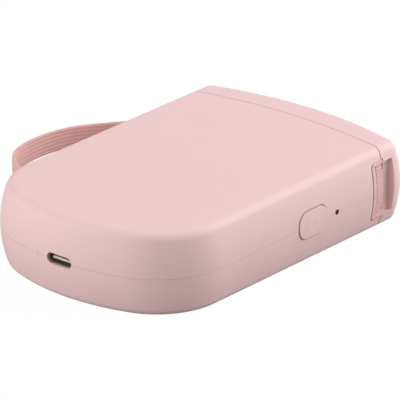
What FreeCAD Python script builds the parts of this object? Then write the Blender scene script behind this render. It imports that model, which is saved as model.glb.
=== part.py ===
import FreeCAD
import Part
import math
import os

from FreeCAD import Vector

# A pocket label printer. Millimetres. The flat base lies on z = 0 with its centre at the origin.
# x runs from the rounded tip (socket) to the far end (cover), y from the button side to the strap side.

# Outer form
body_length = 116.0
body_width = 76.0
body_height = 25.0
tip_radius = 66.0
shoulder_radius = 24.0
end_bow = 6.2
corner_radius = 5.0
wall_bulge = 2.4
edge_round = 2.8
least_round = 0.3
wall = 1.6
inner_round = 1.2

# Clearances
join_gap = 0.15
parting_gap = 0.2
fit_gap = 0.3
press_gap = 0.01
pin_gap = 0.03
side_play = 0.1

# Seam between the shells, below the middle of the height
seam_drop = 0.2
seam_groove = 0.06
groove_depth = 0.3
lip_root = 0.2
lip_thick = 0.8
lip_below = 1.2
lip_above = 1.0
lip_inset = 3.0
lip_socket_room = 18.0
lip_charge_room = 4.6
lip_anchor_room = 6.0
lip_button_room = 3.75

# Cover parting line and hinge, from the far end and from the strap side
parting_inset = 11.5
parting_radius = 160.0
hinge_inset_x = 15.3
hinge_inset_y = 1.4
hinge_barrel = 1.95
hinge_knuckle = 1.5
hinge_recess = 2.25
hinge_pin_radius = 0.6
knuckle_inset = 3.0
knuckle_length = 4.2
knuckle_web = 0.8
knuckle_play = 0.2

# Label path and platen
label_top_room = 2.5
platen_end_room = 1.5294
rubber_gap = 0.15
platen_radius = 3.0
platen_inset_y = 9.0
shaft_radius = 1.0
shaft_inset = 0.3
bush_radius = 2.0
bush_height = 1.4
bush_rim = 0.9
bush_drop = 0.4
roller_foot = 0.25

# Gears
gear_module = 0.5
gear_thick = 1.6
gear_backlash = 0.12
big_gear_lift = 0.35
big_gear_thick = 1.2
gear_step = 0.25
hub_radius = 2.0
axle_radius = 0.75
axle_sink = 0.7
collar_radius = 1.7
collar_length = 1.25
platen_teeth = 16
idler_teeth = 18
small_teeth = 12
big_teeth = 28
pinion_teeth = 10
pressure_angle = 20.0
reduction_angle = 152.0
motor_angle = 125.0

# Print head, its bracket and spring
head_thick = 0.8
head_reach_low = 4.4
head_reach_high = 5.0
head_over = 0.1
sink_thick = 2.0
sink_low_reach = 3.5
sink_high_reach = 6.0
sink_play = 0.2
sink_top_play = 0.6
sink_neck = 0.3
fin_gap = 0.9
fin_depth = 1.1
fin_pitch = 2.0
fin_count = 4
fin_rise = 3.4
pivot_back = 1.7
pivot_off = 7.7
pivot_radius = 0.75
lug_radius = 1.6
sheet = 0.8
bracket_room = 3.5
bracket_drop = 1.4
bracket_low_reach = 4.5
spring_thick = 0.25
spring_rise = 3.4
spring_under = 1.6
spring_wave = [(0.15, -2.6), (0.5, -1.6), (1.3, -0.4), (1.9, 0.8), (2.1, 1.8), (1.9, 2.8), (1.3, 4.0),
               (0.5, 5.2), (0.15, 6.2)]
ribbon_thick = 0.25
ribbon_wide = 5.0
ribbon_near = 9.6
ribbon_bend = 1.1
ribbon_lift = 1.0
ribbon_notch = 0.4
ribbon_start = 1.0
ribbon_rise = 1.2
ribbon_over = 0.7

# Mechanism plate and motor
plate_motor_side = 6.05
plate_bay_gap = 1.9
plate_edge_y = 4.4
plate_screw_inset = 1.6
plate_screw_y = 6.5
motor_radius = 7.5
motor_headroom = 5.3
motor_round = 0.8
motor_shaft_radius = 0.75
motor_shaft_length = 6.0
motor_bush_hole = 2.6
motor_bay_gap = 1.027

# Label bay and the gap sensor
bay_back = 18.15
bay_strap_room = 8.3
bay_wall = 1.2
bay_sheet = 0.8
bay_under = 0.4
bay_over = 0.3
mouth_back = 0.65
flange_back = 3.45
flange_y = 19.0
flange_joint = 0.6
sensor_thick = 1.0
sensor_wide = 4.5
sensor_high = 5.5
sensor_inset = 2.0

# Board and battery
board_drop = 2.4
board_thick = 1.0
board_inset = 2.6
board_bay_gap = 1.2
board_motor_gap = 0.55
board_plate_lap = 0.2
board_lamp_reach = 2.3
board_lamp_deep = 9.0
board_button_deep = 3.8
board_boss_gap = 0.4
pad_thick = 0.35
pad_margin = 3.0
battery_thick = 5.6
battery_width = 32.0
battery_tip_room = 8.0
battery_bay_room = 3.8
battery_pad_margin = 4.0
battery_round = 1.2
tab_wide = 3.0
tab_thick = 0.2
tab_length = 1.4
tab_rise = 2.45
tab_places = (-8.0, 5.0)

# Button and its switch
button_inset_x = 48.5
button_rise = 1.9
button_wide = 12.9
button_high = 8.3
button_round = 3.6
button_proud = 0.3
button_travel = 0.4
button_room = 1.15
button_depth = 3.0
button_skirt = 0.5
flange_thick = 0.7
flange_over = (2.2, 2.0)
stem_size = (3.0, 2.4)
stem_length = 1.25
switch_wide = 6.0
switch_front = 4.6
switch_deep = 3.6
switch_high = 3.4
plunger_radius = 0.8
plunger_length = 2.2
plunger_reach = 1.0
plunger_spare = 0.2

# Lamps
lamp_off = 10.83
lamp_radius = 0.8
lamp_rise = 0.2
lamp_length = 4.0
lamp_gap = 0.05
lamp_foot = 0.7
lamp_foot_back = 0.6
lamp_chip = 0.7
charge_y = 8.4
charge_rise = 1.7
charge_radius = 0.5
charge_length = 4.3
charge_inset = 0.5
charge_foot = 0.6
charge_foot_x = 4.0

# Socket
socket_rise = 1.65
socket_wide = 8.94
socket_high = 3.2
socket_sheet = 0.3
socket_length = 7.0
socket_inset = 0.7
socket_room = 0.2
socket_end_share = 0.97
socket_wall = 4.0
tongue_wide = 6.6
tongue_thick = 0.7
tongue_inset = 0.7

# Tear bar
tear_back = 5.95
tear_front = 0.85
tear_under = 1.4
tear_over = 0.6
tear_gap = 0.5
tear_depth = 2.4
tear_body = 3.1
tear_round = 1.6
tooth_pitch = 1.0
tooth_depth = 0.8
tooth_inset = 1.2
tooth_groove = 0.8
tooth_step = 0.7
tooth_blade = 0.5
tooth_floor = 0.4
tooth_under = 0.4
tooth_back_wall = 0.8
hollow_inset = 0.2
rib_gap = 0.35
rib_depth = 0.2
recess_over = 3.45
recess_deep = 2.2
recess_sheet = 0.7
slot_wide = 1.1
notch_radius = 0.5
notch_depth = 2.3
notch_back = 0.5
notch_drop = 0.9

# Catch: an arm on the cover with a window, and a sprung steel leaf under the roof
arm_y = 22.0
arm_wide = 3.6
arm_thick = 0.8
arm_drop = 1.5
arm_back = 7.15
arm_front = 5.35
arm_rib = 2.4
window_back = 4.65
window_length = 2.4
window_rim = 0.5
leaf_thick = 0.2
leaf_wide = 2.0
leaf_tail = 7.4
leaf_rise = 1.8
leaf_drop = 1.2

# Strap: a webbing band that leaves the far anchor and comes back to the near one
strap_width = 7.4
strap_thick = 1.2
strap_rise = 2.2
slot_across = 0.5
slot_along = 0.4
anchor_radius = 1.0
anchor_rim = 1.0
anchor_inset_x = 21.8
anchor_inset_y = 4.4
anchor_apart = 62.4
anchor_shift = 0.2
anchor_foot = 2.1
anchor_head = 2.4
anchor_board_room = (3.2, 4.2, 3.4)
strap_run = [(1.1, -3.15), (-2.3, 0.1), (-6.7, 4.0), (-11.6, 7.8), (-17.4, 12.2), (-23.3, 16.0),
             (-28.9, 18.3), (-34.7, 19.7), (-41.0, 20.1), (-46.0, 19.5), (-50.8, 17.8), (-54.8, 14.8),
             (-57.6, 10.8), (-59.2, 6.2), (-60.1, 1.0), (-60.7, -4.6)]

# Screws
case_screw_radius = 0.9
case_head_radius = 2.0
case_head_sink = 0.5
case_head_thick = 1.5
case_head_gap = 0.15
case_screw_drop = 4.4
case_hole_drop = 2.1
case_boss_radius = 3.0
case_cap_radius = 2.4
small_screw_radius = 0.7
small_head_radius = 1.5
small_head_thick = 0.9
small_hole_gap = 0.1
board_boss_radius = 2.0
plate_boss_radius = 1.9
board_screw_length = 6.9
plate_screw_length = 3.7
hole_over = 0.5
case_tip_room = 16.0
case_spread = 20.0
case_bay_room = 19.0
case_strap_room = 8.5
case_button_room = 11.5
case_near_room = 9.0
board_tip_room = 28.0
board_side_room = 10.0
board_plate_room = 5.2
board_plate_deep = 24.0
plate_screw_back = 2.8
plate_screw_far = 2.2

# Chips on the board: from the bay or the tip along x, near edge, length, width, height
bay_chips = [(28.6, -6.0, 12.0, 15.0, 2.2), (10.6, -18.0, 7.0, 7.0, 1.0), (12.6, 14.0, 6.0, 8.0, 1.2)]
tip_chips = [(12.0, -14.0, 4.5, 4.0, 0.9), (20.0, 18.0, 4.0, 4.0, 2.6)]
bay_small_chips = [(34.6, -10.0), (34.6, -7.0), (34.6, -4.0), (14.6, -21.0), (10.6, -21.0), (20.6, 14.0),
                   (24.6, 14.0)]
tip_small_chips = [(12.0, 2.0)]
small_chip = (1.6, 0.9, 0.7)
ribbon_socket_back = 4.0
ribbon_socket_size = (2.9, 2.0, 1.4)
lamp_chip_size = (1.6, 1.2)
lamp_chip_room = 3.4
charge_chip_room = 3.8

# Places that follow from the sizes
half_length = body_length / 2
half_width = body_width / 2
half_height = body_height / 2
roof = body_height - wall
beyond = body_length
button_side = -half_width
tip = -half_length
end_radius = (half_width ** 2 + end_bow ** 2) / (2 * end_bow)
end_centre = half_length - end_radius
tip_centre = tip_radius - half_length
shoulder_y = half_width - shoulder_radius
shoulder_x = tip_centre - math.sqrt((tip_radius - shoulder_radius) ** 2 - shoulder_y ** 2)
corner_y = half_width - corner_radius
corner_x = end_centre + math.sqrt((end_radius - corner_radius) ** 2 - corner_y ** 2)
bulge_radius = (half_height ** 2 + wall_bulge ** 2) / (2 * wall_bulge)
up = Vector(0, 0, 1)

seam_height = half_height - seam_drop
board_low = seam_height - board_drop
board_top = board_low + board_thick
parting_x = half_length - parting_inset
parting_centre = parting_x - parting_radius
hinge_x = half_length - hinge_inset_x
hinge_y = half_width - hinge_inset_y
knuckle_bottom = wall + knuckle_inset
knuckle_top = roof - knuckle_inset

bush_low_top = wall + bush_height
bush_high_base = roof - bush_height - bush_drop
big_gear_low = wall + big_gear_lift
big_gear_high = big_gear_low + big_gear_thick
gear_low = big_gear_high + gear_step
gear_high = gear_low + gear_thick
axle_foot = wall - axle_sink
plate_low = gear_high + fit_gap
plate_top = plate_low + sheet
label_low = gear_high
label_high = roof - label_top_room
platen_y = button_side + platen_inset_y
gear_tip = gear_module * (platen_teeth / 2 + 1)
end_at_platen = end_centre + math.sqrt(end_radius ** 2 - platen_y ** 2)
platen_x = end_at_platen - wall - gear_tip - platen_end_room
label_x = platen_x - platen_radius - rubber_gap

head_face = label_x - rubber_gap
head_back = head_face - head_thick
sink_back = head_back - sink_thick
sink_low = plate_top + sheet + sink_play
bracket_high = roof - bracket_drop
sink_high = bracket_high - sheet - sink_top_play
pivot_x = head_back - pivot_back
pivot_y = platen_y + pivot_off
bracket_back = sink_back - bracket_room
bracket_front = head_back - flange_thick
motor_height = roof - motor_headroom - plate_top
ribbon_level = plate_top + motor_height + ribbon_lift
ribbon_low = button_side + ribbon_near
ribbon_high = ribbon_low + ribbon_wide

tear_left = label_x - tear_back
tear_right = label_x - tear_front
tear_low = label_low - tear_under
tear_high = label_high + tear_over
mouth_low = label_low - tooth_under
recess_right = label_x + recess_over
arm_low = roof - arm_drop
arm_near = button_side + arm_y
arm_middle = arm_near + arm_wide / 2
window_left = label_x - window_back
flange_x = label_x - flange_back
flange_near = button_side + flange_y

button_x = half_length - button_inset_x
button_z = board_top + button_rise
lamp_x = button_x + lamp_off
lamp_z = seam_height + lamp_rise
socket_z = board_top + socket_rise
charge_z = board_top + charge_rise
switch_face = button_side + switch_front

strap_middle = seam_height + strap_rise
strap_low = strap_middle - strap_width / 2
strap_high = strap_middle + strap_width / 2
anchor_far = (half_length - anchor_inset_x, half_width - anchor_inset_y)
anchor_near = (anchor_far[0] - anchor_apart, anchor_far[1] - anchor_shift)
anchors = (anchor_far, anchor_near)
loop_radius = anchor_radius + fit_gap + strap_thick
strap_path = [(anchor_far[0] + x, half_width + y) for x, y in strap_run]
nodes = {}


def box(low, high):
    size = [h - l for l, h in zip(low, high)]
    return Part.makeBox(*size, Vector(*low))


def rod(x, y, low, high, radius):
    return Part.makeCylinder(radius, high - low, Vector(x, y, low), up)


def side_rod(x, z, near, far, radius):
    return Part.makeCylinder(radius, far - near, Vector(x, near, z), Vector(0, 1, 0))


def long_rod(y, z, near, far, radius):
    return Part.makeCylinder(radius, far - near, Vector(near, y, z), Vector(1, 0, 0))


def prism(points, low, high):
    wire = Part.makePolygon([Vector(x, y, low) for x, y in points + points[:1]])
    return Part.Face(wire).extrude(Vector(0, 0, high - low))


def fused(shapes):
    whole = shapes[0].fuse(shapes[1:])
    return whole.removeSplitter()


def rounded_block(middle, size, radius, depth):
    # A rectangle with rounded corners in the XZ plane, run along Y over the depth range.
    block = Part.makeBox(size[0], depth[1] - depth[0], size[1],
                         Vector(middle[0] - size[0] / 2, depth[0], middle[1] - size[1] / 2))
    edges = [e for e in block.Edges if e.BoundBox.YLength > e.BoundBox.XLength + e.BoundBox.ZLength]
    return block.makeFillet(radius, edges)


def rounded_socket(wide, high, near, far):
    block = Part.makeBox(far - near, wide, high, Vector(near, -wide / 2, socket_z - high / 2))
    edges = [e for e in block.Edges if e.BoundBox.XLength > e.BoundBox.YLength + e.BoundBox.ZLength]
    return block.makeFillet(high / 2 * socket_end_share, edges)


def arc_points(centre, radius, start, end, level):
    turn = [math.radians(a) for a in (start, (start + end) / 2, end)]
    return [Vector(centre[0] + radius * math.cos(a), centre[1] + radius * math.sin(a), level) for a in turn]


def outline_arcs():
    # The plan outline: tip arc, two shoulders, two far corners and the bowed end.
    tangent = math.degrees(math.atan2(shoulder_y, shoulder_x - tip_centre))
    corner = math.degrees(math.atan2(corner_y, corner_x - end_centre))
    return [((tip_centre, 0), tip_radius, tangent, 360 - tangent),
            ((shoulder_x, -shoulder_y), shoulder_radius, 360 - tangent, 270),
            ((corner_x, -corner_y), corner_radius, -90, -corner),
            ((end_centre, 0), end_radius, -corner, corner),
            ((corner_x, corner_y), corner_radius, corner, 90),
            ((shoulder_x, shoulder_y), shoulder_radius, 90, tangent)]


def profile_arcs(inset, low, high, radius):
    # The wall's upright profile as three point arcs of (inset, z): edge, bulged wall, edge.
    reach = bulge_radius - inset

    def edge(level, sign):
        centre_z = level - sign * radius
        drop = (reach - radius) ** 2 - (centre_z - half_height) ** 2
        centre_u = bulge_radius - math.sqrt(drop)
        along_u = centre_u - bulge_radius
        along_z = centre_z - half_height
        scale = reach / math.hypot(along_u, along_z)
        touch = (bulge_radius + along_u * scale, half_height + along_z * scale)
        flat = (centre_u, level)
        mean_u = (touch[0] + flat[0]) / 2 - centre_u
        mean_z = (touch[1] + flat[1]) / 2 - centre_z
        grow = radius / math.hypot(mean_u, mean_z)
        return flat, (centre_u + mean_u * grow, centre_z + mean_z * grow), touch

    bottom = edge(low, -1)
    top = edge(high, 1)
    middle = (bulge_radius - reach, half_height)
    return [bottom, (bottom[2], middle, top[2]), (top[2], top[1], top[0])]


def form(inset, low, high, radius):
    # The body's closed form, moved inwards by the inset and cut flat at low and high.
    arcs = profile_arcs(inset, low, high, radius)
    levels = ((low, arcs[0][0][0]), (high, arcs[2][2][0]))
    faces = []
    rims = {low: [], high: []}
    for centre, size, start, end in outline_arcs():
        turn = math.radians(start)
        outward = Vector(math.cos(turn), math.sin(turn), 0)
        middle = Vector(centre[0], centre[1], 0)
        for arc in arcs:
            points = [middle + outward * (size - u) + up * z for u, z in arc]
            faces.extend(Part.Arc(*points).toShape().revolve(middle, up, end - start).Faces)
        for level, u in levels:
            rims[level].append(Part.Arc(*arc_points(centre, size - u, start, end, level)).toShape())
    for side in (-1, 1):
        for arc in arcs:
            points = [Vector(shoulder_x, side * (half_width - u), z) for u, z in arc]
            faces.append(Part.Arc(*points).toShape().extrude(Vector(corner_x - shoulder_x, 0, 0)))
        for level, u in levels:
            y = side * (half_width - u)
            rims[level].append(Part.makeLine(Vector(shoulder_x, y, level), Vector(corner_x, y, level)))
    for level, u in levels:
        faces.append(Part.Face(Part.Wire(Part.__sortEdges__(rims[level]))))
    shell = Part.makeShell(faces)
    shell.sewShape()
    solid = Part.makeSolid(shell)
    if solid.Volume < 0:
        solid.reverse()
    return solid


outer_form = form(0, 0, body_height, edge_round)
cavity = form(wall, wall, roof, inner_round)


def grown(inset):
    return form(inset, inset, body_height - inset, max(edge_round - inset, least_round))


def skin(outer_inset, inner_inset):
    # The layer of the form between two insets.
    outside = outer_form if outer_inset == 0 else grown(outer_inset)
    return outside.cut(grown(inner_inset))


def gear_points(teeth, phase, middle):
    # Involute teeth, thinned at the pitch circle by the backlash.
    pitch = gear_module * teeth / 2
    lean = math.radians(pressure_angle)
    base = pitch * math.cos(lean)
    tip_circle = pitch + gear_module
    root = pitch - 1.2 * gear_module
    half_tooth = math.pi / (2 * teeth) - gear_backlash / (4 * pitch) + math.tan(lean) - lean
    flank = []
    start = max(base, root)
    for step in range(5):
        radius = start + (tip_circle - start) * step / 4
        rolled = math.acos(min(1.0, base / radius))
        flank.append((radius, half_tooth - math.tan(rolled) + rolled))
    if root < base:
        flank.insert(0, (root, half_tooth))
    points = []
    for tooth in range(teeth):
        centre = phase + 2 * math.pi * tooth / teeth
        rising = [(r, centre - a) for r, a in flank]
        falling = [(r, centre + a) for r, a in reversed(flank)]
        points += [(middle[0] + r * math.cos(a), middle[1] + r * math.sin(a)) for r, a in rising + falling]
    return points


def gear(teeth, phase, middle, low, high):
    return prism(gear_points(teeth, phase, middle), low, high)


def mesh_phase(teeth, phase, middle, other_teeth, other_middle):
    # The phase that puts the other gear's gap on this gear's tooth.
    line = math.atan2(other_middle[1] - middle[1], other_middle[0] - middle[0])
    return line + math.pi - (math.pi - teeth * (line - phase)) / other_teeth


def along(start, length, angle):
    turn = math.radians(angle)
    return (start[0] + length * math.cos(turn), start[1] + length * math.sin(turn))


def strip(points, thick, low, high, axis):
    # A bent strip: points give its centre line in a plane, thick across it, low to high along the axis.
    left = []
    right = []
    for index, point in enumerate(points):
        before = points[max(index - 1, 0)]
        after = points[min(index + 1, len(points) - 1)]
        run = math.hypot(after[0] - before[0], after[1] - before[1])
        normal = (-(after[1] - before[1]) / run, (after[0] - before[0]) / run)
        left.append((point[0] + normal[0] * thick / 2, point[1] + normal[1] * thick / 2))
        right.append((point[0] - normal[0] * thick / 2, point[1] - normal[1] * thick / 2))
    ring = left + right[::-1]
    if axis == "z":
        return prism(ring, low, high)
    wire = Part.makePolygon([Vector(u, low, v) for u, v in ring + ring[:1]])
    return Part.Face(wire).extrude(Vector(0, high - low, 0))


def arc_run(centre, radius, start, end, steps):
    return [along(centre, radius, start + (end - start) * i / steps) for i in range(steps + 1)]


# Gear centres: the platen gear leaves its idler straight along the cover's swing.
platen = (platen_x, platen_y)
swing = math.degrees(math.atan2(platen_x - hinge_x, hinge_y - platen_y))
idler = along(platen, gear_module * (platen_teeth + idler_teeth) / 2, 180 + swing)
reduction = along(idler, gear_module * (idler_teeth + small_teeth) / 2, reduction_angle)
motor = along(reduction, gear_module * (big_teeth + pinion_teeth) / 2, motor_angle)
idler_phase = mesh_phase(platen_teeth, 0, platen, idler_teeth, idler)
small_phase = mesh_phase(idler_teeth, idler_phase, idler, small_teeth, reduction)
pinion_phase = mesh_phase(big_teeth, small_phase, reduction, pinion_teeth, motor)

# The label bay fills the room between the motor and the strap side.
bay_room = half_width - bay_strap_room - motor[1] - motor_radius - motor_bay_gap
bay_outer = bay_room / 2
bay_radius = bay_outer - bay_wall
bay_x = label_x - bay_back
bay_y = half_width - bay_strap_room - bay_outer
bay_low = label_low - bay_under
bay_high = label_high + bay_over
bay_mouth = label_x - mouth_back

# Mechanism plate, board and battery stand around the bay.
plate_left = motor[0] - plate_motor_side
plate_near = button_side + plate_edge_y
plate_far = bay_y - bay_outer - plate_bay_gap
board_far = bay_x - bay_outer - board_bay_gap
board_finger = motor[0] - motor_radius - board_motor_gap
battery_low = wall + pad_thick
battery_high = battery_low + battery_thick
battery_near = tip + battery_tip_room
battery_far = bay_x - bay_outer - battery_bay_room

# Screw places
case_places = [(tip + case_tip_room, case_spread), (tip + case_tip_room, -case_spread),
               (bay_x - case_bay_room, half_width - case_strap_room),
               (button_x - case_button_room, button_side + case_near_room)]
board_places = [(tip + board_tip_room, half_width - board_side_room),
                (tip + board_tip_room, button_side + board_side_room),
                (plate_left - board_plate_room, button_side + board_plate_deep)]
plate_places = [(plate_left + plate_screw_inset, button_side + plate_screw_y),
                (flange_x - plate_screw_back, plate_far - plate_screw_far)]

# Chips: left edge, near edge, length, width, height
chip_list = [(board_far - back, y, *size) for back, y, *size in bay_chips]
chip_list += [(tip + room, y, *size) for room, y, *size in tip_chips]
chip_list += [(board_far - back, y, *small_chip) for back, y in bay_small_chips]
chip_list += [(tip + room, y, *small_chip) for room, y in tip_small_chips]
socket_long, socket_over, socket_tall = ribbon_socket_size
chip_list.append((board_finger - ribbon_socket_back, ribbon_low - side_play, socket_long,
                  ribbon_wide + socket_over, socket_tall))
lamp_chip_long, lamp_chip_deep = lamp_chip_size
chip_list.append((lamp_x - lamp_chip_long / 2, button_side + lamp_chip_room, *lamp_chip_size, lamp_chip))
chip_list.append((tip + charge_chip_room, charge_y - lamp_chip_long / 2, lamp_chip_long, lamp_chip_long,
                  lamp_chip))


def strap_band(thick, width):
    curve = Part.BSplineCurve()
    curve.interpolate([Vector(x, y, 0) for x, y in strap_path])
    spans = 20
    first, last = curve.FirstParameter, curve.LastParameter
    rows = ([], [])
    for step in range(spans + 1):
        at = first + (last - first) * step / spans
        middle = curve.value(at)
        ahead = curve.tangent(at)[0]
        across = Vector(-ahead.y, ahead.x, 0)
        for row, side in zip(rows, (1, -1)):
            row.append(middle + across * (side * thick / 2))
    edges = []
    for row in rows:
        spline = Part.BSplineCurve()
        spline.interpolate(row)
        edges.append(spline.toShape())
    edges.append(Part.makeLine(rows[0][0], rows[1][0]))
    edges.append(Part.makeLine(rows[0][-1], rows[1][-1]))
    band = Part.Face(Part.Wire(Part.__sortEdges__(edges))).extrude(Vector(0, 0, width))
    band.translate(Vector(0, 0, strap_middle - width / 2))
    return band


def parting(gap):
    return rod(parting_centre, 0, -1, body_height + 1, parting_radius + gap)


def wall_cutters():
    # What both shells leave free: tear bar, button, lamps, socket, strap slots and hinge barrel.
    button_size = (button_wide + 2 * fit_gap, button_high + 2 * fit_gap)
    button_hole = rounded_block((button_x, button_z), button_size, button_round + fit_gap,
                                (button_side - 1, button_side + button_depth + side_play))
    socket_hole = rounded_socket(socket_wide + socket_room, socket_high + socket_room,
                                 tip - 1, tip + socket_wall)
    charge_hole = long_rod(charge_y, charge_z, tip - 1, tip + socket_wall + 1, charge_radius + lamp_gap)
    hole_left = tear_left - tear_gap
    hole_right = parting_x + 2 * tear_round
    tear_hole = rounded_block(((hole_left + hole_right) / 2, (tear_low + tear_high) / 2),
                              (hole_right - hole_left, tear_high - tear_low + 2 * side_play), tear_round,
                              (button_side - 1, button_side + tear_body + fit_gap))
    tear_hole = tear_hole.common(box((0, -beyond, 0), (parting_x, 0, body_height)))
    lamp_hole = side_rod(lamp_x, lamp_z, button_side - 1, button_side + lamp_length - 1,
                         lamp_radius + lamp_gap)
    slots = strap_band(strap_thick + 2 * slot_across, strap_width + 2 * slot_along)
    loop_rooms = [rod(x, y, strap_low - fit_gap, strap_high + fit_gap, loop_radius + fit_gap)
                  for x, y in anchors]
    return [button_hole, socket_hole, charge_hole, tear_hole, lamp_hole, slots,
            rod(hinge_x, hinge_y, -1, body_height + 1, hinge_recess)] + loop_rooms


def knuckle(low):
    barrel = rod(hinge_x, hinge_y, low, low + knuckle_length, hinge_knuckle)
    web = box((hinge_x - hinge_recess - knuckle_web, hinge_y - hinge_knuckle + knuckle_play, low),
              (hinge_x, half_width, low + knuckle_length))
    hole = rod(hinge_x, hinge_y, low - 1, low + knuckle_length + 1, hinge_pin_radius + pin_gap)
    return barrel.fuse(web).common(outer_form).cut(hole)


def anchor_boss(place, low, high):
    return rod(place[0], place[1], low, high, anchor_radius + anchor_rim).common(outer_form)


def seam_lip(above):
    # The lip stands on the bottom shell's wall and reaches up inside the top shell's wall.
    span = box((tip + lip_inset, -beyond, seam_height - lip_below),
               (button_x - button_wide / 2 - lip_button_room, beyond, seam_height + lip_above))
    charge_side = charge_y + lip_charge_room
    socket_side = box((-beyond, -charge_side, 0), (tip + lip_socket_room, charge_side, beyond))
    anchor_x = anchor_near[0]
    anchor_side = box((anchor_x - lip_anchor_room, 0, 0), (anchor_x + lip_anchor_room, beyond, beyond))
    lip = skin(wall - lip_root, wall + lip_thick).common(span.cut([socket_side, anchor_side]))
    return lip.cut(skin(wall - lip_root - side_play, wall + join_gap).common(above))


def make_shells():
    hull = outer_form.cut(cavity).common(parting(-parting_gap))
    hull = hull.cut(wall_cutters())
    below = box((-beyond, -beyond, -beyond), (beyond, beyond, seam_height))
    above = box((-beyond, -beyond, seam_height), (beyond, beyond, beyond))
    groove = box((-beyond, -beyond, seam_height - seam_groove), (beyond, beyond, seam_height))
    bottom_parts = [hull.common(below).cut(groove.common(skin(0, groove_depth))), seam_lip(above)]
    top_parts = [hull.common(above)]
    for x, y in case_places:
        bottom_parts.append(rod(x, y, wall, seam_height, case_boss_radius).common(outer_form))
        top_parts.append(rod(x, y, seam_height, roof, case_cap_radius))
    for x, y in board_places:
        bottom_parts.append(rod(x, y, wall, board_low, board_boss_radius))
    for x, y in plate_places:
        bottom_parts.append(rod(x, y, wall, plate_low, plate_boss_radius))
    for place in anchors:
        bottom_parts.append(anchor_boss(place, wall, strap_low - fit_gap))
        top_parts.append(anchor_boss(place, strap_high + fit_gap, roof))
    bottom_parts.append(knuckle(knuckle_bottom))
    top_parts.append(knuckle(knuckle_top - knuckle_length))
    head_top = case_head_sink + case_head_thick
    small_bore = small_screw_radius + pin_gap
    cuts = [rod(x, y, -1, roof - case_hole_drop, case_screw_radius + pin_gap) for x, y in case_places]
    cuts += [rod(x, y, -1, head_top, case_head_radius + case_head_gap) for x, y in case_places]
    cuts += [rod(x, y, board_top - board_screw_length - hole_over, board_low + 1, small_bore)
             for x, y in board_places]
    cuts += [rod(x, y, plate_top - plate_screw_length - side_play, plate_low + 1, small_bore)
             for x, y in plate_places]
    cuts += [rod(x, y, wall + anchor_foot - knuckle_play, roof - anchor_head + knuckle_play,
                 anchor_radius + pin_gap) for x, y in anchors]
    cuts.append(rod(reduction[0], reduction[1], axle_foot, gear_high, axle_radius + pin_gap))
    nodes["bottom_shell"] = fused(bottom_parts).cut(cuts)
    nodes["top_shell"] = fused(top_parts).cut(cuts)


def make_cover():
    cap = outer_form.cut(cavity).cut(parting(parting_gap))
    column = rod(hinge_x, hinge_y, -1, body_height + 1, hinge_barrel).common(outer_form)
    tear_room = box((0, button_side - 1, tear_low - fit_gap),
                    (tear_right + fit_gap, button_side + tear_body + 3 * fit_gap, tear_high + fit_gap))
    left = tear_right + fit_gap
    back = button_side + recess_deep
    pocket = box((left, button_side - 1, mouth_low - recess_sheet),
                 (recess_right + recess_sheet, back + recess_sheet, label_high + recess_sheet))
    hollow = box((left - slot_wide, button_side - 2, mouth_low), (recess_right, back, label_high))
    slot = box((left - slot_wide, button_side, label_low), (left + slot_wide, 0, label_high))
    low_boss = rod(platen_x, platen_y, wall, bush_low_top, bush_radius + bush_rim)
    high_boss = rod(platen_x, platen_y, bush_high_base, roof, bush_radius + bush_rim)
    arm_right = label_x + arm_front
    arm = box((label_x - arm_back, arm_near, arm_low), (arm_right, arm_near + arm_wide, arm_low + arm_thick))
    rib = box((arm_right - arm_rib, arm_near, arm_low), (arm_right, arm_near + arm_wide, roof))
    window = box((window_left, arm_near + window_rim, arm_low - 1),
                 (window_left + window_length, arm_near + arm_wide - window_rim, arm_low + arm_thick + 1))
    whole = fused([cap, column, pocket.common(outer_form), low_boss, high_boss, arm, rib])
    cuts = [tear_room, hollow, slot, window]
    for low in (knuckle_bottom, knuckle_top - knuckle_length):
        cuts.append(box((hinge_x - hinge_recess - knuckle_web, hinge_y - hinge_recess - side_play,
                         low - knuckle_play),
                        (hinge_x + hinge_knuckle + fit_gap, half_width + 1,
                         low + knuckle_length + knuckle_play)))
    cuts.append(rod(hinge_x, hinge_y, knuckle_bottom, knuckle_top, hinge_pin_radius + pin_gap))
    cuts.append(rod(platen_x, platen_y, wall, bush_low_top + 1, bush_radius + press_gap))
    cuts.append(rod(platen_x, platen_y, bush_high_base - 1, roof, bush_radius + press_gap))
    cuts.append(side_rod(tear_right - notch_back, tear_low - notch_drop, button_side,
                         button_side + notch_depth, notch_radius))
    nodes["end_cover"] = whole.cut(cuts)
    nodes["cover_hinge_pin"] = rod(hinge_x, hinge_y, knuckle_bottom, knuckle_top, hinge_pin_radius)


def make_platen():
    low_bush = rod(platen_x, platen_y, wall + side_play, bush_low_top, bush_radius)
    high_bush = rod(platen_x, platen_y, bush_high_base, roof - side_play, bush_radius)
    bore = rod(platen_x, platen_y, 0, body_height, shaft_radius + pin_gap)
    tight = rod(platen_x, platen_y, 0, body_height, shaft_radius + press_gap)
    nodes["platen_bushes"] = Part.makeCompound([low_bush.cut(bore), high_bush.cut(bore)])
    nodes["platen_shaft"] = rod(platen_x, platen_y, wall + shaft_inset, roof - shaft_inset, shaft_radius)
    roller = rod(platen_x, platen_y, gear_high + roller_foot, label_high, platen_radius)
    nodes["platen_roller"] = roller.cut(tight)
    nodes["platen_gear"] = gear(platen_teeth, 0, platen, gear_low, gear_high).cut(tight)


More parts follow.
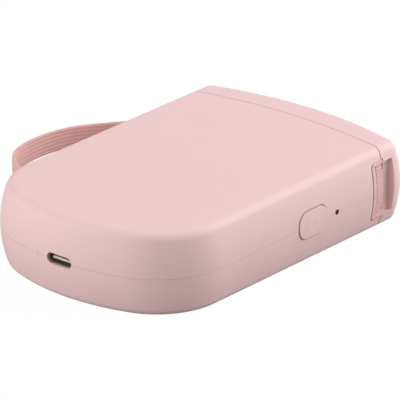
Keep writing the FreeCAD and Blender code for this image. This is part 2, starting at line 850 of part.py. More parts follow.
def make_tear_bar():
    block_right = tear_right + 2 * tear_round
    block = rounded_block(((tear_left + block_right) / 2, (tear_low + tear_high) / 2),
                          (block_right - tear_left, tear_high - tear_low), tear_round,
                          (button_side - 1, button_side + tear_body))
    plate = block.common(skin(0, tear_depth)).common(box((0, -beyond, 0), (tear_right, 0, beyond)))
    teeth = int((label_high - mouth_low) / tooth_pitch)
    low = (label_high + mouth_low - teeth * tooth_pitch) / 2
    high = low + teeth * tooth_pitch
    # The teeth point back across an open groove, over a hollow that keeps the gaps between them dark.
    back_x = tear_left + tooth_inset
    tip_x = back_x + tooth_groove
    root_x = tip_x + tooth_depth
    edge = []
    for tooth in range(teeth):
        edge.append((root_x, low + tooth * tooth_pitch))
        edge.append((tip_x, low + (tooth + 0.5) * tooth_pitch))
    edge.append((root_x, high))
    ring = edge + [(back_x, high), (back_x, low)]
    wire = Part.makePolygon([Vector(x, button_side - 1, z) for x, z in ring + ring[:1]])
    groove = Part.Face(wire).extrude(Vector(0, 2 * tear_body, 0))
    groove = groove.common(skin(-fit_gap, tear_depth - tooth_floor))
    step = box((tip_x, -beyond, low), (tear_right + 1, 0, high)).common(skin(-fit_gap, tooth_step))
    hollow = box((tip_x - hollow_inset, -beyond, low + hollow_inset),
                 (tear_right - tooth_back_wall, 0, high - hollow_inset))
    hollow = hollow.common(skin(tooth_step + tooth_blade, tear_depth - tooth_floor - hollow_inset))
    gaps = [box((root_x - tooth_depth / 2, -beyond, low + tooth * tooth_pitch - rib_gap / 2),
                (tear_right + 1, 0, low + tooth * tooth_pitch + rib_gap / 2)) for tooth in range(1, teeth)]
    furrows = Part.makeCompound(gaps).common(skin(-fit_gap, tooth_step + rib_depth))
    nodes["tear_bar"] = plate.cut(groove.fuse(step).fuse(furrows).fuse(hollow))


def make_bay():
    low = bay_low - bay_sheet
    high = bay_high + bay_sheet
    cup = rod(bay_x, bay_y, low, high, bay_outer)
    cup = cup.fuse(box((bay_x, bay_y - bay_outer, low), (bay_mouth, bay_y + bay_outer, high)))
    room = rod(bay_x, bay_y, bay_low, bay_high, bay_radius)
    room = room.fuse(box((bay_x, bay_y - bay_radius, bay_low), (bay_mouth + 2, bay_y + bay_radius, bay_high)))
    flange = box((flange_x, flange_near, wall + side_play),
                 (flange_x + bay_wall, bay_y - bay_outer + flange_joint, bay_high + fit_gap))
    nodes["label_bay"] = fused([cup, flange]).cut(room)
    face = flange_x + bay_wall
    sensor_low = (label_low + label_high - sensor_high) / 2
    nodes["gap_sensor"] = box((face, flange_near + sensor_inset, sensor_low),
                              (face + sensor_thick, flange_near + sensor_inset + sensor_wide,
                               sensor_low + sensor_high))


def make_gears():
    idler_bore = rod(idler[0], idler[1], 0, body_height, axle_radius + pin_gap)
    nodes["idler_gear"] = gear(idler_teeth, idler_phase, idler, gear_low, gear_high).cut(idler_bore)
    hub = rod(reduction[0], reduction[1], big_gear_low, gear_high, hub_radius)
    wheel = gear(big_teeth, small_phase, reduction, big_gear_low, big_gear_high)
    small = gear(small_teeth, small_phase, reduction, gear_low, gear_high)
    bore = rod(reduction[0], reduction[1], 0, body_height, axle_radius + pin_gap)
    nodes["reduction_gear"] = fused([wheel, hub, small]).cut(bore)
    # The idler's axle hangs from the plate, because the big gear turns under it.
    axles = [rod(reduction[0], reduction[1], axle_foot, plate_top, axle_radius),
             rod(idler[0], idler[1], gear_low, plate_top, axle_radius)]
    nodes["gear_axles"] = Part.makeCompound(axles)
    tight = rod(motor[0], motor[1], 0, body_height, motor_shaft_radius + press_gap)
    pinion = gear(pinion_teeth, pinion_phase, motor, big_gear_low, big_gear_high)
    collar = rod(motor[0], motor[1], big_gear_high, big_gear_high + collar_length, collar_radius)
    nodes["motor_pinion"] = fused([pinion, collar]).cut(tight)
    nodes["motor_shaft"] = rod(motor[0], motor[1], big_gear_low, plate_top + motor_shaft_length,
                               motor_shaft_radius)


def make_mechanism():
    inner_y = flange_near - 2 * fit_gap
    inner_x = flange_x - fit_gap
    outline = [(plate_left, plate_near), (bracket_front, plate_near), (bracket_front, inner_y),
               (inner_x, inner_y), (inner_x, plate_far), (plate_left, plate_far)]
    plate = prism(outline, plate_low, plate_top)
    holes = [rod(x, y, 0, body_height, axle_radius + press_gap) for x, y in (idler, reduction)]
    holes.append(rod(motor[0], motor[1], 0, body_height, motor_bush_hole))
    holes += [rod(x, y, 0, body_height, small_screw_radius + small_hole_gap) for x, y in plate_places]
    nodes["mechanism_plate"] = plate.cut(holes)
    can_top = plate_top + motor_height
    can = rod(motor[0], motor[1], plate_top, can_top, motor_radius)
    rim = [e for e in can.Edges if e.BoundBox.ZMin > can_top - motor_round]
    can = can.makeFillet(motor_round, rim)
    shaft_room = rod(motor[0], motor[1], 0, plate_top + motor_shaft_length + hole_over,
                     motor_shaft_radius + pin_gap)
    nodes["motor"] = can.cut(shaft_room)
    screws = []
    for x, y in plate_places:
        head = rod(x, y, plate_top, plate_top + small_head_thick, small_head_radius)
        screws.append(head.fuse(rod(x, y, plate_top - plate_screw_length, plate_top, small_screw_radius)))
    nodes["mechanism_screws"] = Part.makeCompound(screws)
    low_y = button_side + bracket_low_reach
    high_y = inner_y + side_play
    rear = box((bracket_back, low_y, plate_top), (bracket_back + sheet, high_y, bracket_high))
    low_flange = box((bracket_back, low_y, plate_top), (bracket_front, high_y, plate_top + sheet))
    high_flange = box((bracket_back, low_y, bracket_high - sheet), (bracket_front, high_y, bracket_high))
    pivot_hole = rod(pivot_x, pivot_y, 0, body_height, pivot_radius + press_gap)
    notch = box((bracket_back - 1, ribbon_low - ribbon_notch, ribbon_level - hole_over),
                (bracket_back + sheet + 1, ribbon_high + ribbon_notch, ribbon_level + hole_over))
    nodes["head_bracket"] = fused([rear, low_flange, high_flange]).cut([pivot_hole, notch])
    nodes["head_pivot_pin"] = rod(pivot_x, pivot_y, plate_top, bracket_high, pivot_radius)


def make_head():
    near = platen_y - sink_low_reach
    far = platen_y + sink_high_reach
    body = box((sink_back, near, sink_low), (head_back, far, sink_high))
    lug = rod(pivot_x, pivot_y, sink_low, sink_high, lug_radius)
    neck = box((sink_back, far - 1, sink_low), (head_back - sink_neck, pivot_y, sink_high))
    fin_low = plate_top + fin_rise
    fins = [box((sink_back - 1, near - 1, fin_low + fin * fin_pitch),
                (sink_back + sheet, near + fin_depth, fin_low + fin * fin_pitch + fin_gap))
            for fin in range(fin_count)]
    sink = fused([body, lug, neck]).cut(fins)
    nodes["head_heat_sink"] = sink.cut(rod(pivot_x, pivot_y, 0, body_height, pivot_radius + pin_gap))
    nodes["print_head"] = box((head_back, platen_y - head_reach_low, label_low + fit_gap),
                              (head_face, platen_y + head_reach_high, label_high + head_over))
    seat = bracket_back + sheet
    wave = [(seat + x, platen_y + y) for x, y in spring_wave]
    nodes["head_spring"] = strip(wave, spring_thick, plate_top + spring_rise,
                                 ribbon_level - spring_under, "z")
    start_x = board_finger - ribbon_start
    rise_x = start_x + ribbon_rise
    start_z = board_top + ribbon_over
    top = ribbon_level
    run = [(start_x, start_z)]
    run += arc_run((rise_x - ribbon_bend, start_z + ribbon_bend), ribbon_bend, 270, 360, 5)[1:]
    run += arc_run((rise_x + ribbon_bend, top - ribbon_bend), ribbon_bend, 180, 90, 5)
    run.append((sink_back - 2 * fit_gap, top))
    nodes["head_ribbon"] = strip(run, ribbon_thick, ribbon_low, ribbon_high, "y")


def make_board():
    slab = fused([box((-beyond, -beyond, board_low), (board_far, beyond, board_top)),
                  box((board_far - 1, -beyond, board_low),
                      (board_finger, plate_far + board_plate_lap, board_top)),
                  box((board_finger - 1, -beyond, board_low),
                      (lamp_x + board_lamp_reach, button_side + board_lamp_deep, board_top))])
    blank = slab.common(grown(board_inset))
    cuts = [rod(x, y, 0, body_height, case_boss_radius + board_boss_gap) for x, y in case_places]
    cuts += [rod(x, y, 0, body_height, small_screw_radius + small_hole_gap) for x, y in board_places]
    button_half = (button_wide + flange_over[0]) / 2 + button_room
    cuts.append(box((button_x - button_half, -beyond, 0),
                    (button_x + button_half, button_side + board_button_deep, body_height)))
    left, right, deep = anchor_board_room
    cuts.append(box((anchor_near[0] - left, anchor_near[1] - deep, 0),
                    (anchor_near[0] + right, beyond, body_height)))
    nodes["main_board"] = blank.cut(cuts)
    chips = [box((x, y, board_top), (x + length, y + width, board_top + height))
             for x, y, length, width, height in chip_list]
    nodes["board_chips"] = Part.makeCompound(chips)
    screws = []
    for x, y in board_places:
        head = rod(x, y, board_top, board_top + small_head_thick, small_head_radius)
        screws.append(head.fuse(rod(x, y, board_top - board_screw_length, board_top, small_screw_radius)))
    nodes["board_screws"] = Part.makeCompound(screws)


def make_socket():
    near = tip + socket_inset
    far = near + socket_length
    back = far - 2 * socket_sheet
    shell = rounded_socket(socket_wide, socket_high, near, far)
    room = rounded_socket(socket_wide - 2 * socket_sheet, socket_high - 2 * socket_sheet, near - 1, back)
    nodes["usb_shell"] = shell.cut(room)
    nodes["usb_tongue"] = box((near + tongue_inset, -tongue_wide / 2, socket_z - tongue_thick / 2),
                              (back, tongue_wide / 2, socket_z + tongue_thick / 2))


def make_power():
    half = battery_width / 2
    cell = box((battery_near, -half, battery_low), (battery_far, half, battery_high))
    long_edges = [e for e in cell.Edges if e.BoundBox.XLength > e.BoundBox.YLength + e.BoundBox.ZLength]
    nodes["battery"] = cell.makeFillet(battery_round, long_edges)
    nodes["battery_pad"] = box((battery_near + battery_pad_margin, pad_margin - half, wall),
                               (battery_far - battery_pad_margin, half - pad_margin, battery_low))
    end = battery_far + tab_length
    level = battery_low + tab_rise
    tabs = []
    for y in tab_places:
        foot = box((battery_far, y, level), (end, y + tab_wide, level + tab_thick))
        tabs.append(foot.fuse(box((end - tab_thick, y, level), (end, y + tab_wide, board_low))))
    nodes["battery_tabs"] = Part.makeCompound(tabs)


def make_button():
    place = (button_x, button_z)
    depth = (button_side - 1, button_side + button_depth)
    cap = rounded_block(place, (button_wide, button_high), button_round, depth)
    cap = cap.common(skin(-button_proud, wall + button_skirt))
    flange_size = (button_wide + flange_over[0], button_high + flange_over[1])
    flange = rounded_block(place, flange_size, button_round, depth)
    flange = flange.common(skin(wall + fit_gap, wall + fit_gap + flange_thick))
    wide, high = stem_size
    plunger_tip = switch_face - plunger_reach
    stem = box((button_x - wide / 2, plunger_tip - join_gap - stem_length, button_z - high / 2),
               (button_x + wide / 2, plunger_tip - join_gap, button_z + high / 2))
    nodes["power_button"] = fused([cap, flange, stem])
    body = box((button_x - switch_wide / 2, switch_face, board_top),
               (button_x + switch_wide / 2, switch_face + switch_deep, board_top + switch_high))
    plunger_end = plunger_tip + plunger_length
    bore = side_rod(button_x, button_z, switch_face - 1, plunger_end + button_travel + plunger_spare,
                    plunger_radius + pin_gap)
    nodes["button_switch"] = body.cut(bore)
    nodes["switch_plunger"] = side_rod(button_x, button_z, plunger_tip, plunger_end, plunger_radius)


def make_lamps():
    lamp_back = button_side + lamp_length
    pipe = side_rod(lamp_x, lamp_z, button_side, lamp_back, lamp_radius)
    foot = box((lamp_x - lamp_foot, lamp_back - lamp_foot, board_top + lamp_chip + side_play),
               (lamp_x + lamp_foot, lamp_back + lamp_foot_back, lamp_z + lamp_radius))
    nodes["status_lamp"] = fused([pipe, foot])
    lens_near = tip + charge_inset
    lens = long_rod(charge_y, charge_z, lens_near, lens_near + charge_length, charge_radius)
    foot_x = tip + charge_foot_x
    foot = box((foot_x, charge_y - charge_foot, board_top + lamp_chip + side_play),
               (foot_x + 2 * charge_foot, charge_y + charge_foot, charge_z + charge_radius))
    nodes["charge_lamp"] = fused([lens, foot])


def make_strap():
    bands = [strap_band(strap_thick, strap_width)]
    for x, y in anchors:
        bands.append(rod(x, y, strap_low, strap_high, loop_radius))
    rooms = [rod(x, y, 0, body_height, anchor_radius + fit_gap) for x, y in anchors]
    nodes["strap"] = fused(bands).cut(rooms)
    pins = [rod(x, y, wall + anchor_foot, roof - anchor_head, anchor_radius) for x, y in anchors]
    nodes["strap_anchors"] = Part.makeCompound(pins)


def make_fixings():
    head_top = case_head_sink + case_head_thick
    screws = []
    for x, y in case_places:
        head = rod(x, y, case_head_sink, head_top, case_head_radius)
        screws.append(head.fuse(rod(x, y, head_top, roof - case_screw_drop, case_screw_radius)))
    nodes["case_screws"] = Part.makeCompound(screws)
    peak = window_left + window_length / 2
    level = roof - leaf_thick / 2 - press_gap
    bend = [(peak - leaf_rise - leaf_tail, level), (peak - leaf_rise, level), (peak, level - leaf_drop),
            (peak + leaf_rise, level)]
    leaf_near = arm_middle - leaf_wide / 2
    nodes["cover_catch"] = strip(bend, leaf_thick, leaf_near, leaf_near + leaf_wide, "y")


print("gear centres", [[round(v, 4) for v in spot] for spot in (platen, idler, reduction, motor)])
print("label bay", [round(v, 3) for v in (bay_x, bay_y, bay_radius)])
make_shells()
make_cover()
make_platen()
make_tear_bar()
make_bay()
make_gears()
make_mechanism()
make_head()
make_board()
make_socket()
make_power()
make_button()
make_lamps()
make_strap()
make_fixings()

os.makedirs("parts", exist_ok=True)
for name, shape in nodes.items():
    shape.exportStep("parts/" + name + ".step")
    print(name, len(shape.Solids), round(shape.Volume, 1), shape.isValid())
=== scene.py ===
import bpy
import bmesh
import math
from mathutils import Matrix, Vector


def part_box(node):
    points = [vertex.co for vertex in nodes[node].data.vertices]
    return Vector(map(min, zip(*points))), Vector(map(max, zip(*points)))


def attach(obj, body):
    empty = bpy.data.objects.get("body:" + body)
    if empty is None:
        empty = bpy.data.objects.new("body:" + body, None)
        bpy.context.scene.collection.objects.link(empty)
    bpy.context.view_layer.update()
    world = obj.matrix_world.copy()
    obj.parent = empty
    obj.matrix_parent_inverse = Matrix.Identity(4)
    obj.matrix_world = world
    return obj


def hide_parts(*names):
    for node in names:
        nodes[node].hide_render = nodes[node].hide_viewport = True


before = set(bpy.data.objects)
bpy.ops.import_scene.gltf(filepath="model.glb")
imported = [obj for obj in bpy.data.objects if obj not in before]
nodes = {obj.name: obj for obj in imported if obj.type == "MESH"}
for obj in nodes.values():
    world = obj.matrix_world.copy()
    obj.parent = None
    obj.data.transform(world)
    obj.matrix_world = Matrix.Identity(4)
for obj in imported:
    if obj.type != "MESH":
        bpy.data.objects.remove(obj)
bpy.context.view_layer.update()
mm = 0.001
print("frame loaded")

# The camera stands where the photograph's outline puts it: long lens, looking down at the button side.
photoView = {
    "azimuth": 49.78,
    "elevation": 22.86,
    "distance": 1372.7 * mm,
    "focalPixels": 4716,
    "imagePixels": 400,
    "sensor": 36,
    "aim": Vector((0, 0, 12.5 * mm)),
    "aimRight": 2.46 * mm,
    "aimUp": 0.0,
}


def placeCamera():
    turn = math.radians(photoView["azimuth"])
    tilt = math.radians(photoView["elevation"])
    right = Vector((math.cos(turn), -math.sin(turn), 0))
    forward = Vector((math.sin(turn) * math.cos(tilt), math.cos(turn) * math.cos(tilt), -math.sin(tilt)))
    upward = right.cross(forward)
    lens = bpy.data.cameras.new("photoCamera")
    lens.sensor_width = photoView["sensor"]
    lens.lens = photoView["focalPixels"] * photoView["sensor"] / photoView["imagePixels"]
    lens.clip_start = 0.01
    lens.clip_end = 20
    camera = bpy.data.objects.new("photoCamera", lens)
    bpy.context.scene.collection.objects.link(camera)
    place = photoView["aim"] - forward * photoView["distance"]
    place += right * photoView["aimRight"] + upward * photoView["aimUp"]
    turned = Matrix((right, upward, -forward)).transposed().to_4x4()
    camera.matrix_world = Matrix.Translation(place) @ turned
    bpy.context.scene.camera = camera


placeCamera()
print("camera placed")

# Lamps, world and floor
studio = {
    "worldLevel": 0.3,
    "lampReach": 1.2,
    "lampSize": 1.0,
    "floorTone": 0.40,
    "floorShare": 0.93,
    "floorGlow": 1.05,
    "floorReach": 3.0,
    "floorDrop": 0.05 * mm,
    # Each lamp: degrees round from +X, degrees up, watts
    "lamps": {"farEnd": (340, 20, 8.0), "farEndHigh": (0, 35, 1.5), "strapSide": (135, 14, 7.6), "tip": (180, 14, 5.0),
              "buttonSide": (318, 14, 2.2), "buttonSideHigh": (318, 35, 6.5), "above": (144, 62, 2.3)},
}


def paint(red, green, blue):
    # A colour written as the eye sees it, turned into light values.
    def straight(level):
        level /= 255
        return level / 12.92 if level <= 0.04045 else ((level + 0.055) / 1.055) ** 2.4
    return (straight(red), straight(green), straight(blue), 1)


def addLamp(name, turn, tilt, power):
    lamp = bpy.data.lights.new(name, "AREA")
    lamp.energy = power
    lamp.size = studio["lampSize"]
    turn = math.radians(turn)
    tilt = math.radians(tilt)
    away = Vector((math.cos(turn) * math.cos(tilt), math.sin(turn) * math.cos(tilt), math.sin(tilt)))
    holder = bpy.data.objects.new(name, lamp)
    bpy.context.scene.collection.objects.link(holder)
    holder.location = away * studio["lampReach"]
    holder.rotation_euler = away.to_track_quat("Z", "Y").to_euler()


def addWorld():
    world = bpy.data.worlds.new("studio")
    bpy.context.scene.world = world
    world.use_nodes = True
    tree = world.node_tree
    tree.nodes.clear()
    plain = tree.nodes.new("ShaderNodeBackground")
    plain.inputs["Color"].default_value = (1, 1, 1, 1)
    plain.inputs["Strength"].default_value = studio["worldLevel"]
    seen = tree.nodes.new("ShaderNodeBackground")
    seen.inputs["Color"].default_value = (1, 1, 1, 1)
    seen.inputs["Strength"].default_value = 1
    rays = tree.nodes.new("ShaderNodeLightPath")
    mix = tree.nodes.new("ShaderNodeMixShader")
    out = tree.nodes.new("ShaderNodeOutputWorld")
    either = tree.nodes.new("ShaderNodeMath")
    either.operation = "MAXIMUM"
    tree.links.new(rays.outputs["Is Camera Ray"], either.inputs[0])
    tree.links.new(rays.outputs["Is Transmission Ray"], either.inputs[1])
    tree.links.new(either.outputs[0], mix.inputs[0])
    tree.links.new(plain.outputs[0], mix.inputs[1])
    tree.links.new(seen.outputs[0], mix.inputs[2])
    tree.links.new(mix.outputs[0], out.inputs["Surface"])


def addFloor():
    reach = studio["floorReach"]
    mesh = bpy.data.meshes.new("floor")
    drop = -studio["floorDrop"]
    corners = [(-reach, -reach, drop), (reach, -reach, drop), (reach, reach, drop), (-reach, reach, drop)]
    mesh.from_pydata(corners, [], [(0, 1, 2, 3)])
    floor = bpy.data.objects.new("floor", mesh)
    bpy.context.scene.collection.objects.link(floor)
    material = bpy.data.materials.new("paleFloor")
    material.use_nodes = True
    tree = material.node_tree
    tree.nodes.clear()
    matt = tree.nodes.new("ShaderNodeBsdfDiffuse")
    tone = studio["floorTone"]
    matt.inputs["Color"].default_value = (tone, tone, tone, 1)
    glow = tree.nodes.new("ShaderNodeEmission")
    glow.inputs["Strength"].default_value = studio["floorGlow"]
    rays = tree.nodes.new("ShaderNodeLightPath")
    share = tree.nodes.new("ShaderNodeMath")
    share.operation = "MULTIPLY"
    share.inputs[1].default_value = studio["floorShare"]
    mix = tree.nodes.new("ShaderNodeMixShader")
    out = tree.nodes.new("ShaderNodeOutputMaterial")
    tree.links.new(rays.outputs["Is Camera Ray"], share.inputs[0])
    tree.links.new(share.outputs[0], mix.inputs[0])
    tree.links.new(matt.outputs[0], mix.inputs[1])
    tree.links.new(glow.outputs[0], mix.inputs[2])
    tree.links.new(mix.outputs[0], out.inputs["Surface"])
    mesh.materials.append(material)


bpy.context.scene.view_settings.view_transform = "Standard"
addWorld()
addFloor()
for lampName, (turnOf, tiltOf, powerOf) in studio["lamps"].items():
    addLamp(lampName + "Lamp", turnOf, tiltOf, powerOf)
print("studio ready")


# Helpers for pieces that a node tree grows from a seed mesh
def nodeTree(name, sizes):
    tree = bpy.data.node_groups.new(name, "GeometryNodeTree")
    tree.interface.new_socket("Geometry", in_out="INPUT", socket_type="NodeSocketGeometry")
    for label, value in sizes.items():
        kind = "NodeSocketInt" if isinstance(value, int) else "NodeSocketFloat"
        tree.interface.new_socket(label, in_out="INPUT", socket_type=kind)
    tree.interface.new_socket("Geometry", in_out="OUTPUT", socket_type="NodeSocketGeometry")
    return tree, tree.nodes.new("NodeGroupInput"), tree.nodes.new("NodeGroupOutput")


def feed(tree, node, **values):
    # Sets or links inputs by name, with underscores for spaces.
    for label, value in values.items():
        socket = node.inputs[label.replace("_", " ")]
        if isinstance(value, bpy.types.NodeSocket):
            tree.links.new(value, socket)
        else:
            socket.default_value = value
    return node


def calc(tree, operation, *terms):
    node = tree.nodes.new("ShaderNodeMath")
    node.operation = operation
    for socket, term in zip(node.inputs, terms):
        if isinstance(term, bpy.types.NodeSocket):
            tree.links.new(term, socket)
        else:
            socket.default_value = term
    return node.outputs[0]


def smoothShare(tree, value, outer, inner):
    # 0 at the outer value, 1 at the inner one, smooth between them.
    node = tree.nodes.new("ShaderNodeMapRange")
    node.interpolation_type = "SMOOTHSTEP"
    tree.links.new(value, node.inputs["Value"])
    node.inputs["From Min"].default_value = outer
    node.inputs["From Max"].default_value = inner
    return node.outputs["Result"]


def vectorOf(tree, x=0.0, y=0.0, z=0.0):
    node = tree.nodes.new("ShaderNodeCombineXYZ")
    for socket, term in zip(node.inputs, (x, y, z)):
        if isinstance(term, bpy.types.NodeSocket):
            tree.links.new(term, socket)
        else:
            socket.default_value = term
    return node.outputs[0]


def store(tree, geometry, name, kind, domain, value):
    node = tree.nodes.new("GeometryNodeStoreNamedAttribute")
    node.data_type = kind
    node.domain = domain
    feed(tree, node, Geometry=geometry, Name=name, Value=value)
    return node.outputs["Geometry"]


def joined(tree, *parts):
    node = tree.nodes.new("GeometryNodeJoinGeometry")
    for part in parts:
        tree.links.new(part, node.inputs[0])
    return node.outputs[0]


def finishTree(tree, geometry, end, look, smooth):
    # Real mesh, shading and material: the last nodes of every tree.
    real = feed(tree, tree.nodes.new("GeometryNodeRealizeInstances"), Geometry=geometry)
    shade = feed(tree, tree.nodes.new("GeometryNodeSetShadeSmooth"), Geometry=real.outputs[0], Shade_Smooth=smooth)
    coat = feed(tree, tree.nodes.new("GeometryNodeSetMaterial"), Geometry=shade.outputs[0], Material=looks[look])
    tree.links.new(coat.outputs[0], end.inputs["Geometry"])


def seedMesh(name, points, edges=()):
    mesh = bpy.data.meshes.new(name)
    mesh.from_pydata([tuple(p) for p in points], [tuple(e) for e in edges], [])
    return mesh


def growPiece(name, seed, tree, sizes, body):
    holder = bpy.data.objects.new(name + "Seed", seed)
    bpy.context.scene.collection.objects.link(holder)
    modifier = holder.modifiers.new("grow", "NODES")
    modifier.node_group = tree
    for item in tree.interface.items_tree:
        if item.item_type == "SOCKET" and item.in_out == "INPUT" and item.name in sizes:
            modifier[item.identifier] = sizes[item.name]
    grown = holder.evaluated_get(bpy.context.evaluated_depsgraph_get())
    mesh = bpy.data.meshes.new_from_object(grown)
    bpy.data.objects.remove(holder)
    piece = bpy.data.objects.new(name, mesh)
    bpy.context.scene.collection.objects.link(piece)
    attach(piece, body)
    return piece


# Materials
def shaderBase(name, colour, roughness, metallic=0.0):
    material = bpy.data.materials.new(name)
    material.use_nodes = True
    shader = material.node_tree.nodes["Principled BSDF"]
    shader.inputs["Base Color"].default_value = colour
    shader.inputs["Roughness"].default_value = roughness
    shader.inputs["Metallic"].default_value = metallic
    shader.inputs["Specular IOR Level"].default_value = 0.5 if metallic else 0.25
    return material, material.node_tree, shader


def addGrain(tree, shader, scale, depth, strength, colour, shift, coords="Object"):
    # Fine bump and a faint drift of the colour, both in the piece's own space.
    where = tree.nodes.new("ShaderNodeTexCoord")
    fine = tree.nodes.new("ShaderNodeTexNoise")
    fine.inputs["Scale"].default_value = scale
    fine.inputs["Detail"].default_value = 3
    bump = tree.nodes.new("ShaderNodeBump")
    bump.inputs["Strength"].default_value = strength
    bump.inputs["Distance"].default_value = depth
    broad = tree.nodes.new("ShaderNodeTexNoise")
    broad.inputs["Scale"].default_value = 28
    broad.inputs["Detail"].default_value = 2
    blend = tree.nodes.new("ShaderNodeMix")
    blend.data_type = "RGBA"
    blend.inputs["A"].default_value = tuple(c * (1 - shift) for c in colour[:3]) + (1,)
    blend.inputs["B"].default_value = tuple(min(1, c * (1 + shift)) for c in colour[:3]) + (1,)
    tree.links.new(where.outputs[coords], fine.inputs["Vector"])
    tree.links.new(where.outputs[coords], broad.inputs["Vector"])
    tree.links.new(fine.outputs["Fac"], bump.inputs["Height"])
    tree.links.new(bump.outputs["Normal"], shader.inputs["Normal"])
    tree.links.new(broad.outputs["Fac"], blend.inputs["Factor"])
    tree.links.new(blend.outputs["Result"], shader.inputs["Base Color"])
    return fine, bump


finishes = {
    "shell": {"colour": paint(237, 204, 202), "roughness": 0.5, "grain": 2600, "depth": 0.02 * mm, "bump": 0.25},
    "insert": {"colour": paint(234, 192, 191), "roughness": 0.48, "grain": 2200, "depth": 0.02 * mm, "bump": 0.25},
    "gear": {"colour": paint(232, 231, 226), "roughness": 0.38, "grain": 1800, "depth": 0.01 * mm, "bump": 0.2},
    "black": {"colour": paint(34, 34, 36), "roughness": 0.5, "grain": 2400, "depth": 0.02 * mm, "bump": 0.3},
    "tongue": {"colour": paint(232, 222, 212), "roughness": 0.4, "grain": 2000, "depth": 0.01 * mm, "bump": 0.2},
    "rubber": {"colour": paint(42, 42, 43), "roughness": 0.85, "grain": 3800, "depth": 0.04 * mm, "bump": 0.6},
    "foam": {"colour": paint(58, 58, 58), "roughness": 0.95, "grain": 1500, "depth": 0.1 * mm, "bump": 0.8},
    "ribbon": {"colour": paint(196, 122, 42), "roughness": 0.28, "grain": 900, "depth": 0.01 * mm, "bump": 0.1},
    "pouch": {"colour": paint(196, 198, 202), "roughness": 0.34, "grain": 500, "depth": 0.06 * mm, "bump": 0.35},
    "lampDark": {"colour": paint(70, 46, 44), "roughness": 0.22, "grain": 900, "depth": 0.01 * mm, "bump": 0.1},
    "lampClear": {"colour": paint(228, 200, 198), "roughness": 0.18, "grain": 900, "depth": 0.01 * mm, "bump": 0.1},
}


def plasticFinish(name):
    finish = finishes[name]
    material, tree, shader = shaderBase(name, finish["colour"], finish["roughness"])
    addGrain(tree, shader, finish["grain"], finish["depth"], finish["bump"], finish["colour"], 0.012)
    return material


metals = {
    "steel": {"colour": paint(196, 197, 200), "roughness": 0.3},
    "tin": {"colour": paint(150, 138, 132), "roughness": 0.4, "metallic": 0.7},
    "aluminium": {"colour": paint(205, 207, 210), "roughness": 0.36},
    "brass": {"colour": paint(206, 170, 96), "roughness": 0.26},
    "gold": {"colour": paint(222, 184, 104), "roughness": 0.22},
}


def metalFinish(name):
    # Drawn metal: noise stretched along one way gives the brushing.
    finish = metals[name]
    material, tree, shader = shaderBase(name, finish["colour"], finish["roughness"], finish.get("metallic", 1.0))
    where = tree.nodes.new("ShaderNodeTexCoord")
    stretch = tree.nodes.new("ShaderNodeMapping")
    stretch.inputs["Scale"].default_value = (260, 5200, 5200)
    lines = tree.nodes.new("ShaderNodeTexNoise")
    lines.inputs["Scale"].default_value = 1
    lines.inputs["Detail"].default_value = 4
    bump = tree.nodes.new("ShaderNodeBump")
    bump.inputs["Strength"].default_value = 0.12
    bump.inputs["Distance"].default_value = 0.01 * mm
    tree.links.new(where.outputs["Object"], stretch.inputs["Vector"])
    tree.links.new(stretch.outputs["Vector"], lines.inputs["Vector"])
    tree.links.new(lines.outputs["Fac"], bump.inputs["Height"])
    tree.links.new(bump.outputs["Normal"], shader.inputs["Normal"])
    return material


def boardFinish():
    # Solder mask over copper: a brick pattern stands for the tracks.
    green = paint(18, 92, 58)
    material, tree, shader = shaderBase("solderMask", green, 0.3)
    where = tree.nodes.new("ShaderNodeTexCoord")
    tracks = tree.nodes.new("ShaderNodeTexBrick")
    tracks.inputs["Scale"].default_value = 160
    tracks.inputs["Mortar Size"].default_value = 0.035
    tracks.inputs["Color1"].default_value = green
    tracks.inputs["Color2"].default_value = paint(22, 104, 64)
    tracks.inputs["Mortar"].default_value = paint(46, 140, 88)
    bump = tree.nodes.new("ShaderNodeBump")
    bump.inputs["Strength"].default_value = 0.3
    bump.inputs["Distance"].default_value = 0.03 * mm
    tree.links.new(where.outputs["Object"], tracks.inputs["Vector"])
    tree.links.new(tracks.outputs["Color"], shader.inputs["Base Color"])
    tree.links.new(tracks.outputs["Fac"], bump.inputs["Height"])
    tree.links.new(bump.outputs["Normal"], shader.inputs["Normal"])
    return material


